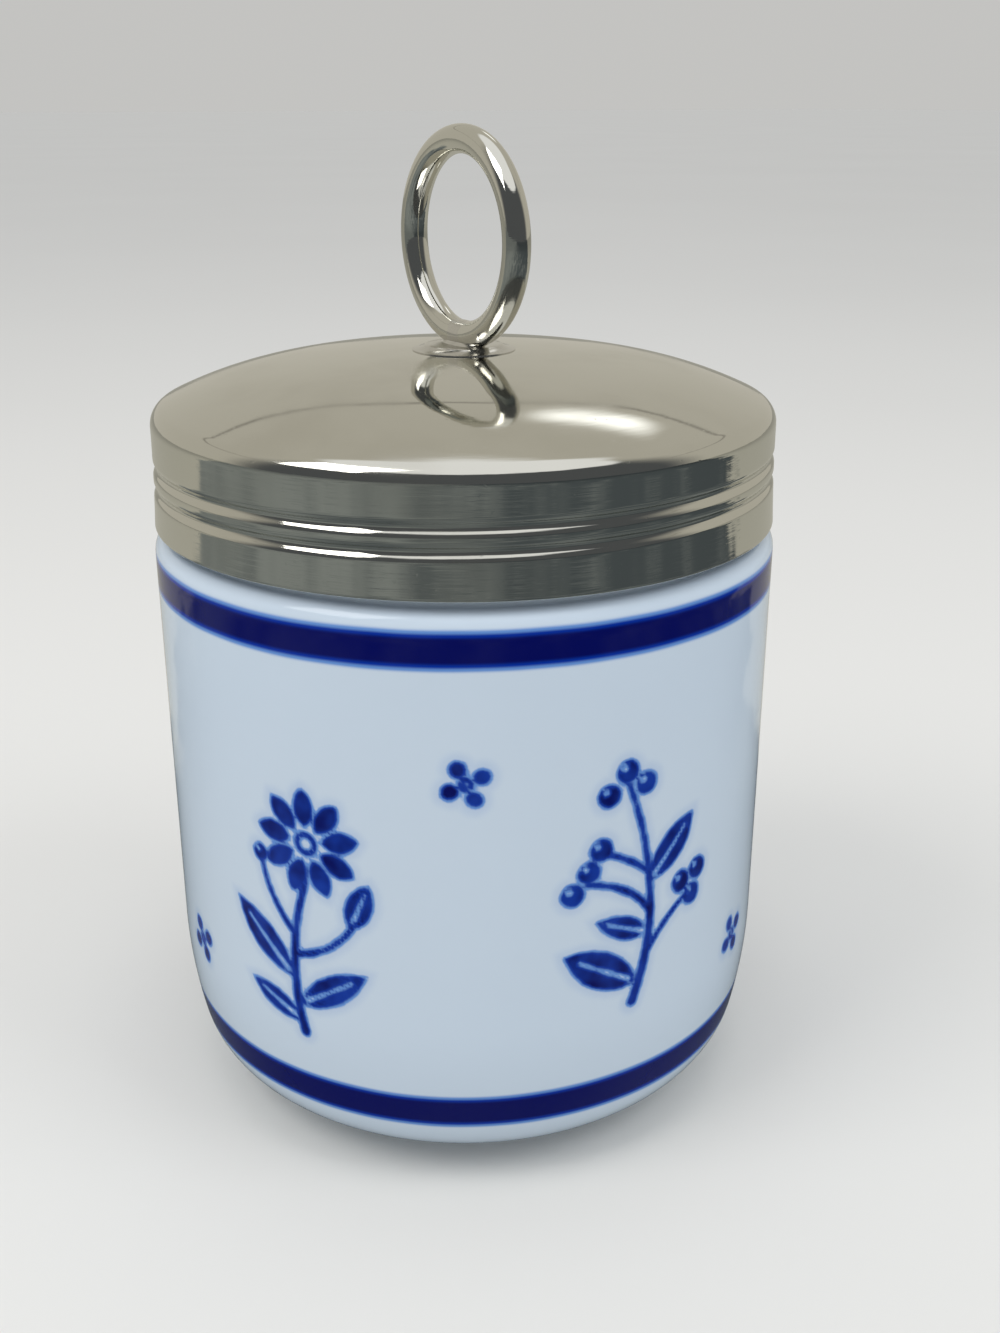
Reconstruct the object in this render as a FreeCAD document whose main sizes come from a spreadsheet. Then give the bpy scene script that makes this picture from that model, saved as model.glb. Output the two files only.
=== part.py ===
"""Egg coddler: a porcelain cup with a screw neck, and a thin metal screw lid with a soldered lifting ring.

Frame: millimetres, +Z up, origin at the centre of the foot's underside. The ring stands in the YZ plane.
The lid's skirt goes round the cup's neck with room between the two for their screw thread.
"""
import FreeCAD, Part
import os

import Sketcher

DRIVING = [
    # cup
    ("cup_radius", 35.0, "outside of the straight wall"),
    ("belly_height", 20.8, "where the straight wall starts to curve in"),
    ("belly_curve", 57.5, "radius of the slow curve under the straight wall"),
    ("corner_curve", 8.7, "radius of the tight curve above the foot"),
    ("foot_inset", 10.0, "how far the foot ring stands in from the straight wall"),
    ("foot_width", 3.2, "foot ring, inside to outside"),
    ("foot_height", 2.0, "outer wall of the foot ring"),
    ("foot_round", 0.4, "rounding of the foot ring's edges"),
    ("recess_depth", 1.2, "hollow under the base"),
    ("floor_thickness", 4.3, "porcelain between that hollow and the well"),
    ("well_curve", 11.0, "radius between the well's wall and floor"),
    ("shoulder_height", 67.5, "flat shoulder that the lid stops above"),
    ("shoulder_curve", 1.85, "rounding of the shoulder's edge"),
    ("neck_step", 2.4, "how far the neck stands in from the straight wall"),
    ("neck_wall", 2.4, "porcelain between the neck and the well"),
    ("neck_curve", 0.5, "radius between shoulder and neck"),
    ("rim_height", 81.45, "top of the rounded rim"),
    # lid
    ("thread_room", 1.3, "between the neck and the skirt, for the screw thread"),
    ("lid_wall", 0.55, "thickness of the pressed sheet"),
    ("crown_curve", 155.0, "radius of the crown's middle"),
    ("crown_turn", 20.0, "where the crown's middle runs into its outer part"),
    ("edge_curve", 45.0, "radius of the crown's outer part"),
    ("corner_radius", 2.2, "outside corner between crown and skirt"),
    ("skirt_curve", 172.0, "radius of the skirt's slow flare"),
    ("hem_gap", 1.03, "between the cup's shoulder and the skirt's hem"),
    ("hem_round", 0.2, "rounding of the hem's two edges"),
    ("rim_clearance", 0.1, "between the cup's rim and the crown"),
    # lifting ring and its solder
    ("wire_radius", 1.5, "wire of the lifting ring"),
    ("ring_radius", 10.15, "ring, from its centre to the middle of the wire"),
    ("ring_gap", 0.3, "between the wire's two ends"),
    ("ring_flat", 0.5, "how much the foot of the ring is flattened"),
    ("solder_radius", 5.7, "puddle of solder under the ring"),
    ("solder_top_radius", 4.2, "flat top of the puddle"),
    ("solder_height", 0.6, "thickness of the puddle"),
    ("solder_edge", 0.1, "thickness of the puddle at its rim"),
    ("solder_curve", 3.0, "radius of the puddle's hollow edge"),
    ("seat_margin", 0.2, "flat seat of the lid beyond the solder"),
]

# Places that follow from the driving sizes. @ marks another place of this list.
DERIVED = [
    # cup
    ("foot_radius", "cup_radius - foot_inset"),
    ("foot_inner", "@foot_radius - foot_width"),
    ("belly_x", "cup_radius - belly_curve"),
    ("span_x", "@foot_radius - @belly_x"),
    ("span_z", "foot_height - belly_height"),
    ("span", "sqrt(@span_x ^ 2 + @span_z ^ 2)"),
    ("arm", "belly_curve - corner_curve"),
    ("along", "(@span ^ 2 + @arm ^ 2 - corner_curve ^ 2) / (2 * @span)"),
    ("across", "sqrt(@arm ^ 2 - @along ^ 2)"),
    ("blend_x", "@belly_x + (@along * @span_x - @across * @span_z) / @span * belly_curve / @arm"),
    ("blend_z", "belly_height + (@along * @span_z + @across * @span_x) / @span * belly_curve / @arm"),
    ("floor_height", "recess_depth + floor_thickness"),
    ("neck_radius", "cup_radius - neck_step"),
    ("well_radius", "@neck_radius - neck_wall"),
    ("rim_round", "neck_wall / 2"),
    ("rim_middle", "@well_radius + @rim_round"),
    ("rim_start", "rim_height - @rim_round"),
    # lid
    ("skirt_inside", "@neck_radius + thread_room"),
    ("skirt_outside", "@skirt_inside + lid_wall"),
    ("under_share", "1 - lid_wall / crown_curve"),
    ("turn_rise", "sqrt(crown_curve ^ 2 - crown_turn ^ 2)"),
    ("edge_share", "1 - edge_curve / crown_curve"),
    ("edge_x", "crown_turn * @edge_share"),
    ("edge_under", "edge_curve - lid_wall"),
    ("rim_reach", "@edge_under - @rim_round - rim_clearance"),
    ("edge_z", "@rim_start - sqrt(@rim_reach ^ 2 - (@rim_middle - @edge_x) ^ 2)"),
    ("crown_centre", "@edge_z - @turn_rise * @edge_share"),
    ("corner_reach", "edge_curve - corner_radius"),
    ("corner_run", "@skirt_outside - corner_radius - @edge_x"),
    ("corner_rise", "sqrt(@corner_reach ^ 2 - @corner_run ^ 2)"),
    ("corner_height", "@edge_z + @corner_rise"),
    ("seat_radius", "solder_radius + seat_margin"),
    ("seat_rise", "sqrt(crown_curve ^ 2 - @seat_radius ^ 2)"),
    ("seat_height", "@crown_centre + @seat_rise"),
    ("hem_height", "shoulder_height + hem_gap"),
    ("hem_start", "@hem_height + hem_round"),
    ("skirt_drop", "@corner_height - @hem_start"),
    ("flare_centre", "@skirt_outside + skirt_curve"),
    ("hem_outside", "@flare_centre - sqrt(skirt_curve ^ 2 - @skirt_drop ^ 2)"),
    ("hem_inside", "@flare_centre - sqrt((skirt_curve + lid_wall) ^ 2 - @skirt_drop ^ 2)"),
    # lifting ring
    ("ring_foot", "@seat_height + solder_height"),
    ("ring_height", "@ring_foot + ring_radius + wire_radius - ring_flat"),
]

DRIVING_NAMES = {alias for alias, number, note in DRIVING}
FULL_TURN = 360
LEFT = 1
RIGHT = -1


def bound(formula):
    """Give each name in a formula the sheet that holds it."""
    words = []
    for word in formula.replace("(", "( ").replace(")", " )").split():
        if word.startswith("@"):
            words.append("<<places>>." + word[1:])
        elif word in DRIVING_NAMES:
            words.append("<<sizes>>." + word)
        else:
            words.append(word)
    return " ".join(words)


def fill_sheets(doc):
    """Write the driving sizes as numbers and the places as formulas, each cell with its alias."""
    sizes = doc.addObject("Spreadsheet::Sheet", "sizes")
    for row, (alias, number, note) in enumerate(DRIVING, start=1):
        sizes.set(f"A{row}", alias)
        sizes.set(f"B{row}", str(number))
        sizes.set(f"C{row}", note)
        sizes.setAlias(f"B{row}", alias)
    places = doc.addObject("Spreadsheet::Sheet", "places")
    for row, (alias, formula) in enumerate(DERIVED, start=1):
        places.set(f"A{row}", alias)
        places.set(f"B{row}", "=" + bound(formula))
        places.setAlias(f"B{row}", alias)
    doc.recompute()
    return sizes


def origin_part(body, role):
    """One of the body's own origin planes or axes."""
    return next(part for part in body.Origin.OriginFeatures if part.Role == role)


class Profile:
    """A sketch on one of a body's own planes, drawn in (radius, height) and bound to the sheets."""

    def __init__(self, body, name, plane="YZ_Plane"):
        self.sheet = body.Document.getObject("sizes")
        self.sketch = body.newObject("Sketcher::SketchObject", name)
        self.sketch.AttachmentSupport = [(origin_part(body, plane), "")]
        self.sketch.MapMode = "FlatFace"

    def value(self, formula):
        return float(self.sheet.evalExpression(bound(formula)))

    def bind(self, kind, *where, formula):
        """Add a dimension whose value is the formula, or hold a point on an axis where it is zero."""
        value = self.value(formula)
        index = self.sketch.addConstraint(Sketcher.Constraint(kind, *where, value))
        self.sketch.setExpression(f"Constraints[{index}]", bound(formula))

    def place(self, geometry, end, radius, height):
        """Hold one point of a line or arc at (radius, height)."""
        for kind, formula, axis in (("DistanceX", radius, -2), ("DistanceY", height, -1)):
            if formula == "0":
                self.sketch.addConstraint(Sketcher.Constraint("PointOnObject", geometry, end, axis))
            else:
                self.bind(kind, -1, 1, geometry, end, formula=formula)

    def outline(self, corners):
        """Draw a closed outline. A corner is (radius, height), and with (curve, side) after it the edge
        that leaves it is an arc of that radius, with its centre on that side of the way."""
        points = [FreeCAD.Vector(self.value(c[0]), self.value(c[1]), 0) for c in corners]
        starts = []
        for number, corner in enumerate(corners):
            start, end = points[number], points[(number + 1) % len(points)]
            if len(corner) == 2:
                starts.append((self.sketch.addGeometry(Part.LineSegment(start, end)), 1, 2))
                continue
            edge = self.arc(start, end, self.value(corner[2]), corner[3])
            first, last = (1, 2) if corner[3] == LEFT else (2, 1)
            starts.append((edge, first, last))
        for number, (edge, first, last) in enumerate(starts):
            before = starts[number - 1]
            self.sketch.addConstraint(Sketcher.Constraint("Coincident", before[0], before[2], edge, first))
        for (edge, first, last), corner in zip(starts, corners):
            self.place(edge, first, corner[0], corner[1])
            if len(corner) > 2:
                self.bind("Radius", edge, formula=corner[2])
        return self.sketch

    def arc(self, start, end, radius, side):
        """Add the short arc from start to end that turns left or right."""
        chord = end - start
        middle = (start + end) / 2
        height = max(radius ** 2 - chord.Length ** 2 / 4, 0) ** 0.5
        centre = middle + FreeCAD.Vector(-chord.y, chord.x, 0) * (side * height / chord.Length)
        circle = Part.Circle(centre, FreeCAD.Vector(0, 0, 1), radius)
        ends = (start, end) if side == LEFT else (end, start)
        angles = [circle.parameter(point) for point in ends]
        return self.sketch.addGeometry(Part.ArcOfCircle(circle, angles[0], angles[1]))

    def circle(self, radius, height, curve):
        """Draw a circle whose centre stands at (radius, height)."""
        centre = FreeCAD.Vector(self.value(radius), self.value(height), 0)
        shape = Part.Circle(centre, FreeCAD.Vector(0, 0, 1), self.value(curve))
        edge = self.sketch.addGeometry(shape)
        self.place(edge, 3, radius, height)
        self.bind("Radius", edge, formula=curve)
        return self.sketch

    def level_axis(self, height, length):
        """Draw a construction line outwards from the Z axis, for a feature to turn about."""
        start = FreeCAD.Vector(0, self.value(height), 0)
        end = start + FreeCAD.Vector(self.value(length), 0, 0)
        line = self.sketch.addGeometry(Part.LineSegment(start, end), True)
        self.place(line, 1, "0", height)
        self.sketch.addConstraint(Sketcher.Constraint("Horizontal", line))
        self.bind("DistanceX", line, 1, line, 2, formula=length)
        return self.sketch


def new_body(doc, name):
    body = doc.addObject("PartDesign::Body", name)
    body.Label = name
    body.Placement = FreeCAD.Placement()
    return body


def turn(body, kind, name, sketch, axis="V_Axis"):
    """Revolve or groove a sketch once round one of its own axes."""
    feature = body.newObject("PartDesign::" + kind, name)
    feature.Profile = sketch
    feature.ReferenceAxis = (sketch, [axis])
    feature.Angle = FULL_TURN
    return feature


def porcelain_cup(doc):
    """Foot ring, rounded base, straight wall, shoulder, neck, round rim and smooth well."""
    body = new_body(doc, "porcelain_cup")
    profile = Profile(body, "cup_profile").outline([
        ("0", "recess_depth"),
        ("@foot_inner", "recess_depth"),
        ("@foot_inner", "foot_round", "foot_round", LEFT),
        ("@foot_inner + foot_round", "0"),
        ("@foot_radius - foot_round", "0", "foot_round", LEFT),
        ("@foot_radius", "foot_round"),
        ("@foot_radius", "foot_height", "corner_curve", LEFT),
        ("@blend_x", "@blend_z", "belly_curve", LEFT),
        ("cup_radius", "belly_height"),
        ("cup_radius", "shoulder_height - shoulder_curve", "shoulder_curve", LEFT),
        ("cup_radius - shoulder_curve", "shoulder_height"),
        ("@neck_radius + neck_curve", "shoulder_height", "neck_curve", RIGHT),
        ("@neck_radius", "shoulder_height + neck_curve"),
        ("@neck_radius", "@rim_start", "@rim_round", LEFT),
        ("@rim_middle", "rim_height", "@rim_round", LEFT),
        ("@well_radius", "@rim_start"),
        ("@well_radius", "@floor_height + well_curve", "well_curve", RIGHT),
        ("@well_radius - well_curve", "@floor_height"),
        ("0", "@floor_height"),
    ])
    turn(body, "Revolution", "cup_wall", profile)
    return body


def screw_lid(doc):
    """One pressed sheet: flat seat, crown of two curves, corner, and a flared skirt with a rounded hem."""
    body = new_body(doc, "screw_lid")
    profile = Profile(body, "lid_profile").outline([
        ("0", "@seat_height"),
        ("@seat_radius", "@seat_height", "crown_curve", RIGHT),
        ("crown_turn", "@crown_centre + @turn_rise", "edge_curve", RIGHT),
        ("@edge_x + @corner_run * edge_curve / @corner_reach",
         "@edge_z + @corner_rise * edge_curve / @corner_reach", "corner_radius", RIGHT),
        ("@skirt_outside", "@corner_height", "skirt_curve", LEFT),
        ("@hem_outside", "@hem_start", "hem_round", RIGHT),
        ("@hem_outside - hem_round", "@hem_height"),
        ("@hem_inside + hem_round", "@hem_height", "hem_round", RIGHT),
        ("@hem_inside", "@hem_start", "skirt_curve + lid_wall", RIGHT),
        ("@skirt_inside", "@corner_height", "corner_radius - lid_wall", LEFT),
        ("@edge_x + @corner_run * @edge_under / @corner_reach",
         "@edge_z + @corner_rise * @edge_under / @corner_reach", "@edge_under", LEFT),
        ("crown_turn * @under_share", "@crown_centre + @turn_rise * @under_share",
         "crown_curve - lid_wall", LEFT),
        ("@seat_radius * @under_share", "@crown_centre + @seat_rise * @under_share"),
        ("0", "@crown_centre + @seat_rise * @under_share"),
    ])
    turn(body, "Revolution", "lid_sheet", profile)
    return body


def lifting_ring(doc):
    """Round wire bent into a ring, its ends meeting at a flattened foot."""
    body = new_body(doc, "lifting_ring")
    wire = Profile(body, "wire_profile", plane="XZ_Plane")
    wire.level_axis("@ring_height", "ring_radius")
    wire.circle("0", "@ring_height + ring_radius", "wire_radius")
    ring = turn(body, "Revolution", "bent_wire", wire.sketch, axis="Axis0")
    ring.Midplane = True
    ring.setExpression("Angle", bound("360 - ring_gap / ring_radius * 180 / pi"))
    foot = Profile(body, "foot_profile").outline([
        ("0", "@ring_foot - wire_radius"),
        ("ring_radius", "@ring_foot - wire_radius"),
        ("ring_radius", "@ring_foot"),
        ("0", "@ring_foot"),
    ])
    turn(body, "Groove", "flat_foot", foot)
    return body


def ring_solder(doc):
    """The round puddle of solder between the crown's seat and the ring's foot."""
    body = new_body(doc, "ring_solder")
    profile = Profile(body, "solder_profile").outline([
        ("0", "@seat_height"),
        ("solder_radius", "@seat_height"),
        ("solder_radius", "@seat_height + solder_edge", "solder_curve", RIGHT),
        ("solder_top_radius", "@ring_foot"),
        ("0", "@ring_foot"),
    ])
    turn(body, "Revolution", "solder_puddle", profile)
    return body


def check(doc, bodies):
    """Stop if anything in the document failed or a piece isn't one sound solid."""
    for thing in doc.Objects:
        if "Invalid" in thing.State or "Error" in thing.State:
            raise RuntimeError(f"{thing.Name} failed: {thing.State}")
    for body in bodies:
        shape = body.Shape
        if shape.isNull() or not shape.isValid() or len(shape.Solids) != 1:
            raise RuntimeError(f"{body.Label} isn't one valid solid")
        box = shape.optimalBoundingBox(False)
        size = f"{box.XLength:.2f} x {box.YLength:.2f} x {box.ZLength:.2f} mm"
        print(f"{body.Label}: {shape.Volume:.1f} mm3, {size}, z {box.ZMin:.2f} to {box.ZMax:.2f}")


def main():
    doc = FreeCAD.newDocument("egg_coddler")
    fill_sheets(doc)
    bodies = [porcelain_cup(doc), screw_lid(doc), lifting_ring(doc), ring_solder(doc)]
    doc.recompute()
    check(doc, bodies)
    os.makedirs("parts", exist_ok=True)
    for body in bodies:
        body.Shape.exportStep(f"parts/{body.Label}.step")


main()
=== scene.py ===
# %% [markdown]
# # A porcelain egg coddler
# An egg coddler is a small pot for cooking eggs in hot water. It has three things worth making well: a
# glazed porcelain cup with cobalt blue painting, a thin polished metal lid that screws on, and a wire ring
# that lifts the hot pot out of the pan.
#
# The solid model of the pot is loaded first. It gives the outer sizes and the places. Each new piece then
# stands exactly where its solid stands and moves with the same body.

# %% Load the solid model
import math

import bpy
import numpy as np
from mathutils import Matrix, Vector


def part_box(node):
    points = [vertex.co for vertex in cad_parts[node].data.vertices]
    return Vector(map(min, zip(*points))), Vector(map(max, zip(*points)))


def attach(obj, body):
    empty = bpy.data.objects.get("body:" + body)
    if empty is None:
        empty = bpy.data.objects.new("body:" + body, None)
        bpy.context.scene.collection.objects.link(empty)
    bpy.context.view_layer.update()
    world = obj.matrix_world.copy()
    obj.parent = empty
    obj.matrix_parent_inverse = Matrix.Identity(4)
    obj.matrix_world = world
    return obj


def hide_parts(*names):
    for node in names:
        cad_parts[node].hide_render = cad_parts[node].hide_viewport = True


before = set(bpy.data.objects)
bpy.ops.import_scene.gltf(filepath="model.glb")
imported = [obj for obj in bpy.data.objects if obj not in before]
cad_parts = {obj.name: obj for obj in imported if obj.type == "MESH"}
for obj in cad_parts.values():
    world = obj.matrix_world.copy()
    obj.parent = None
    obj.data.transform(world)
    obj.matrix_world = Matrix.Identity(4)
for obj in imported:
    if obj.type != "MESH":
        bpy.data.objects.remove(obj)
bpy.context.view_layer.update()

bpy.ops.object.select_all(action="DESELECT")

# %% [markdown]
# ## Sizes
# The outer sizes are read from the solids. The steps and curves between them can't be read from a box, so
# they are written once here, in millimetres, and every piece below uses them by name.

# %% Sizes of the cup, the lid and the ring
MM = 0.001

_, cup_high = (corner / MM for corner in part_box("porcelain_cup"))
lid_low, _ = (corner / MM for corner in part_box("screw_lid"))
ring_low, ring_high = (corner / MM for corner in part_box("lifting_ring"))
solder_low, solder_high = (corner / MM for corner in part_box("ring_solder"))

NECK_STEP = 2.4
NECK_WALL = 2.4
FOOT_INSET = 10.0
FOOT_WIDTH = 3.2
FLOOR_WALL = 4.3
CUP_RADIUS = cup_high.x
RIM_HEIGHT = cup_high.z
NECK_RADIUS = CUP_RADIUS - NECK_STEP
WELL_RADIUS = NECK_RADIUS - NECK_WALL
FOOT_RADIUS = CUP_RADIUS - FOOT_INSET
FOOT_INNER = FOOT_RADIUS - FOOT_WIDTH
FOOT_HEIGHT = 2.0
FOOT_ROUND = 0.4
RECESS_DEPTH = 1.2
FLOOR_HEIGHT = RECESS_DEPTH + FLOOR_WALL
BELLY_HEIGHT = 20.8
BELLY_CURVE = 57.5
CORNER_CURVE = 8.7
WELL_CURVE = 11.0
SHOULDER_HEIGHT = 67.5
SHOULDER_CURVE = 1.85
NECK_CURVE = 0.5

SHEET = 0.55
THREAD_ROOM = 1.3
RIM_CLEARANCE = 0.1
HEM_HEIGHT = lid_low.z
HEM_ROUND = 0.2
SKIRT_RADIUS = NECK_RADIUS + THREAD_ROOM + SHEET
SKIRT_CURVE = 172.0
CORNER_RADIUS = 2.2
CROWN_CURVE = 155.0
CROWN_TURN = 20.0
EDGE_CURVE = 45.0

WIRE_RADIUS = ring_high.x
RING_RADIUS = ring_high.y - WIRE_RADIUS
RING_FOOT = ring_low.z
RING_HEIGHT = ring_high.z - RING_RADIUS - WIRE_RADIUS
SEAT_HEIGHT = solder_low.z
SOLDER_RADIUS = solder_high.x
SEAT_MARGIN = 0.2
SEAT_RADIUS = SOLDER_RADIUS + SEAT_MARGIN

THREAD_PITCH = 2.3
THREAD_TURNS = 2.0
THREAD_BEARING = math.radians(65)
THREAD_FADE = 0.07
print(f"cup {2 * CUP_RADIUS:.1f} mm across, rim at {RIM_HEIGHT:.1f} mm, ring top at {ring_high.z:.1f} mm")

# %% [markdown]
# ## Drawing an outline with one point
# Cup, lid and solder are all round, so each starts as half an outline. One point is moved along it:
# a straight run is an extrude, and a curve is a spin of that point about the curve's centre. Spins keep
# the curves true, which matters on glaze and polished metal, where every flat spot shows.

# %% Draw and turn an outline
LEFT = 1
RIGHT = -1
MERGE_WITHIN = 0.001 * MM
SMOOTH_BELOW = math.radians(40)


def arc_centre(start, end, bend, side):
    """Centre of the short arc from start to end that turns left or right."""
    chord = end - start
    rise = math.sqrt(max(bend ** 2 - chord.length_squared / 4, 0))
    return (start + end) / 2 + Vector((-chord.z, 0, chord.x)).normalized() * rise * side


def draw_outline(name, corners):
    """Draw a half outline from corners in millimetres: (radius, height, pieces), or with (bend, side) after
    them where the run that leaves the corner is an arc."""
    places = [Vector((radius, 0, height)) * MM for radius, height, *_ in corners]
    bpy.ops.mesh.primitive_plane_add(size=MM)
    piece = bpy.context.object
    piece.name = piece.data.name = name
    bpy.ops.object.mode_set(mode="EDIT")
    bpy.ops.mesh.select_mode(type="VERT")
    bpy.ops.mesh.select_all(action="SELECT")
    bpy.ops.mesh.merge(type="CENTER")
    bpy.ops.transform.translate(value=places[0])
    for (_, _, pieces, *arc), start, end in zip(corners, places, places[1:]):
        if not arc:
            for _ in range(pieces):
                bpy.ops.mesh.extrude_vertices_move(TRANSFORM_OT_translate={"value": (end - start) / pieces})
            continue
        bend, side = arc
        centre = arc_centre(start, end, bend * MM, side)
        turned = (start - centre).angle(end - centre) * side
        bpy.ops.mesh.spin(steps=pieces, angle=turned, center=centre, axis=(0, 1, 0))
    return piece


def turn_outline(piece, steps):
    """Spin the outline once round the upright axis, close its seam and poles, and smooth it."""
    bpy.ops.mesh.select_all(action="SELECT")
    bpy.ops.mesh.spin(steps=steps, angle=math.tau, center=(0, 0, 0), axis=(0, 0, 1))
    bpy.ops.mesh.select_all(action="SELECT")
    bpy.ops.mesh.remove_doubles(threshold=MERGE_WITHIN)
    bpy.ops.mesh.normals_make_consistent(inside=False)
    bpy.ops.object.mode_set(mode="OBJECT")
    bpy.ops.object.shade_smooth_by_angle(angle=SMOOTH_BELOW)
    print(piece.name, len(piece.data.vertices), "points,", len(piece.data.polygons), "faces")


# %% [markdown]
# ## Moving points in code
# A few forms follow a rule that no single tool has, such as a screw thread. For those the mesh's points are
# read as one array, moved by the rule and written back, which is quick even on a fine mesh.

# %% Read and write a mesh's points
def read_points(mesh):
    flat = np.empty(3 * len(mesh.vertices))
    mesh.vertices.foreach_get("co", flat)
    return flat.reshape(-1, 3) / MM


def write_points(mesh, points):
    mesh.vertices.foreach_set("co", (points * MM).ravel())
    mesh.update()


def ease(share):
    """Rise from 0 to 1 with a soft start and end."""
    share = np.clip(share, 0, 1)
    return share * share * (3 - 2 * share)


# %% [markdown]
# ## The screw thread
# The thread is a right-hand helix of two turns. Each point near it is asked two things: how many turns along
# the thread it lies, and how far above or below the thread's line. A bell-shaped section of that distance
# gives the push, and it fades at both ends, as a moulded or rolled thread runs out.

# %% How strongly the thread pushes each point
LEAST_REACH = 0.001


def thread_strength(points, start_height, half_width):
    bearing = (np.arctan2(points[:, 1], points[:, 0]) - THREAD_BEARING) / math.tau % 1.0
    climbed = (points[:, 2] - start_height) / THREAD_PITCH
    turns = bearing + np.round(climbed - bearing)
    off_line = np.clip(np.abs(climbed - turns) * THREAD_PITCH / half_width, 0, 1)
    section = np.cos(off_line * math.pi / 2) ** 2
    return section * ease(turns / THREAD_FADE) * ease((THREAD_TURNS - turns) / THREAD_FADE)


def push_out(points, distance):
    """Move points straight away from the upright axis. A point on the axis stays."""
    reach = np.maximum(np.hypot(points[:, 0], points[:, 1]), LEAST_REACH)
    points[:, :2] *= (1 + distance / reach)[:, None]


# %% [markdown]
# ## The cup
# The cup was cast and turned as one piece of porcelain, so one closed outline makes all of it: the hollow
# under the foot, the foot ring, the rounded base, the straight wall, the neck, the rim and the well. The
# base is two curves that run into each other, and the place where they meet is worked out here.

# %% Where the base's two curves meet
def blend_point():
    """The point where the tight corner curve runs into the slow belly curve."""
    belly = Vector((CUP_RADIUS - BELLY_CURVE, BELLY_HEIGHT))
    foot = Vector((FOOT_RADIUS, FOOT_HEIGHT))
    span = foot - belly
    arm = BELLY_CURVE - CORNER_CURVE
    along = (span.length_squared + arm ** 2 - CORNER_CURVE ** 2) / (2 * span.length)
    across = math.sqrt(arm ** 2 - along ** 2)
    unit = span.normalized()
    return belly + (unit * along + Vector((-unit.y, unit.x)) * across) * BELLY_CURVE / arm


blend = blend_point()
print(f"the base's curves meet at radius {blend.x:.2f} mm, height {blend.y:.2f} mm")

# %% [markdown]
# The wall carries the painting, so its rows are as far apart as its columns. The neck has fine rows for the
# thread, and the well, which has no such form, has few.

# %% Turn the cup
CUP_STEPS = 280
ROW = 0.78
PAINT_TOP = 54.0

rim_round = (NECK_RADIUS - WELL_RADIUS) / 2
rim_middle = WELL_RADIUS + rim_round
rim_start = RIM_HEIGHT - rim_round

cup = draw_outline("cup_glazed", [
    (0, RECESS_DEPTH, 3),
    (FOOT_INNER, RECESS_DEPTH, 2),
    (FOOT_INNER, FOOT_ROUND, 3, FOOT_ROUND, LEFT),
    (FOOT_INNER + FOOT_ROUND, 0, 3),
    (FOOT_RADIUS - FOOT_ROUND, 0, 3, FOOT_ROUND, LEFT),
    (FOOT_RADIUS, FOOT_ROUND, 2),
    (FOOT_RADIUS, FOOT_HEIGHT, 15, CORNER_CURVE, LEFT),
    (blend.x, blend.y, 15, BELLY_CURVE, LEFT),
    (CUP_RADIUS, BELLY_HEIGHT, round((PAINT_TOP - BELLY_HEIGHT) / ROW)),
    (CUP_RADIUS, PAINT_TOP, 8),
    (CUP_RADIUS, SHOULDER_HEIGHT - SHOULDER_CURVE, 7, SHOULDER_CURVE, LEFT),
    (CUP_RADIUS - SHOULDER_CURVE, SHOULDER_HEIGHT, 1),
    (NECK_RADIUS + NECK_CURVE, SHOULDER_HEIGHT, 4, NECK_CURVE, RIGHT),
    (NECK_RADIUS, SHOULDER_HEIGHT + NECK_CURVE, 52),
    (NECK_RADIUS, rim_start, 7, rim_round, LEFT),
    (rim_middle, RIM_HEIGHT, 7, rim_round, LEFT),
    (WELL_RADIUS, rim_start, 6),
    (WELL_RADIUS, FLOOR_HEIGHT + WELL_CURVE, 10, WELL_CURVE, RIGHT),
    (WELL_RADIUS - WELL_CURVE, FLOOR_HEIGHT, 3),
    (0, FLOOR_HEIGHT, 0),
])
turn_outline(cup, CUP_STEPS)

# %% [markdown]
# The thread on the neck is raised by pushing the neck's own points outwards, so porcelain and thread stay
# one skin, as they are under the glaze.

# %% Raise the thread on the neck
CUP_THREAD_HEIGHT = 73.35
CUP_THREAD_RISE = 1.1
CUP_THREAD_HALF = 0.95

points = read_points(cup.data)
outside = np.hypot(points[:, 0], points[:, 1]) > rim_middle
on_neck = outside & (points[:, 2] > SHOULDER_HEIGHT + NECK_CURVE) & (points[:, 2] < rim_start)
rise = thread_strength(points, CUP_THREAD_HEIGHT, CUP_THREAD_HALF) * CUP_THREAD_RISE
push_out(points, np.where(on_neck, rise, 0))
write_points(cup.data, points)
print("thread stands out by up to", round(float(rise[on_neck].max()), 2), "mm")

# %% [markdown]
# ## Room for the painting
# The sprigs have fine lines. Only the part of the wall that carries them is subdivided, which keeps the
# rest of the cup light.

# %% Subdivide the painted wall
PAINT_LOW = 17.0
WALL_SKIN = 4


def select_faces(piece, wanted):
    """Select the faces whose middle passes the test, and nothing else, in edit mode."""
    bpy.ops.object.select_all(action="DESELECT")
    piece.select_set(True)
    bpy.context.view_layer.objects.active = piece
    bpy.ops.object.mode_set(mode="EDIT")
    bpy.ops.mesh.select_mode(type="FACE")
    bpy.ops.mesh.select_all(action="DESELECT")
    bpy.ops.object.mode_set(mode="OBJECT")
    for face in piece.data.polygons:
        face.select = wanted(face.center / MM)
    bpy.ops.object.mode_set(mode="EDIT")


def on_painted_wall(middle):
    return PAINT_LOW < middle.z < PAINT_TOP and middle.xy.length > CUP_RADIUS - WALL_SKIN


select_faces(cup, on_painted_wall)
bpy.ops.mesh.subdivide(number_cuts=1)
bpy.ops.object.mode_set(mode="OBJECT")
print(cup.name, len(cup.data.polygons), "faces after subdividing")

# %% [markdown]
# ## Painting by distance
# The sprigs aren't a picture. Each brush mark is a small formula that says how far a place on the wall is
# from the mark's edge, less than nothing inside it. The nearest mark wins. That distance is stored on the
# mesh, and the glaze turns it into soft-edged cobalt, so the edges stay smooth between the mesh's points.
#
# Places on the wall are (across, up) in millimetres from the foot of each sprig.

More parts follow.
